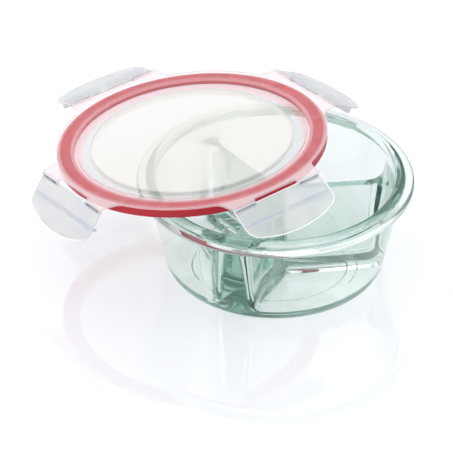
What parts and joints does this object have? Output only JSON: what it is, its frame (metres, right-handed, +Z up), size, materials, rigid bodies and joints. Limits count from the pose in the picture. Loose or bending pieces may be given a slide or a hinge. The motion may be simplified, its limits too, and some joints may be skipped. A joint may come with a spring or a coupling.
{
  "type": "glass storage container",
  "caption": "Round pressed-glass food container with divided compartments and a clear plastic clip lid with a red seal, the lid unclipped and resting askew on the rim.",
  "frame": {"origin": "middle of the flat base that the bowl stands on", "axes": "+Z up along the bowl's axis; +X and +Y level, with one flap hanging into the bowl towards -Y and the lid pushed towards -X and +Y"},
  "size_m": [0.2457, 0.2316, 0.0856],
  "materials": {
    "clear_glass": "clear pressed soda-lime glass, slightly green in its thick edges",
    "milky_plastic": "translucent natural polypropylene, satin",
    "red_silicone": "smooth red silicone"
  },
  "bodies": {
    "bowl": {"glass_bowl": "clear_glass", "glass_rim": "clear_glass"},
    "lid": {"lid_plate": "milky_plastic", "seal_ring": "red_silicone"},
    "flap_back_right": {"flap_back_right": "milky_plastic"},
    "flap_back_left": {"flap_back_left": "milky_plastic"},
    "flap_front_left": {"flap_front_left": "milky_plastic"},
    "flap_front_right": {"flap_front_right": "milky_plastic"}
  },
  "joints": [
    {"name": "lid_lift", "type": "slide", "parent": "bowl", "child": "lid", "axis": [0, 0, 1], "range_m": [0, 0.1]},
    {"name": "flap_back_right_hinge", "type": "hinge", "parent": "lid", "child": "flap_back_right", "pos_m": [0.02061, 0.08564, 0.07961], "axis": [-0.578, 0.8113, -0.0883], "range_deg": [-100, 9]},
    {"name": "flap_back_left_hinge", "type": "hinge", "parent": "lid", "child": "flap_back_left", "pos_m": [-0.10711, 0.10661, 0.06634], "axis": [-0.8103, -0.5834, -0.056], "range_deg": [-85, 78]},
    {"name": "flap_front_left_hinge", "type": "hinge", "parent": "lid", "child": "flap_front_left", "pos_m": [-0.12848, -0.0217, 0.06931], "axis": [0.578, -0.8113, 0.0883], "range_deg": [-125, 39]},
    {"name": "flap_front_right_hinge", "type": "hinge", "parent": "lid", "child": "flap_front_right", "pos_m": [-0.00076, -0.04266, 0.08258], "axis": [0.8103, 0.5834, 0.056], "range_deg": [-110, 54]}
  ]
}
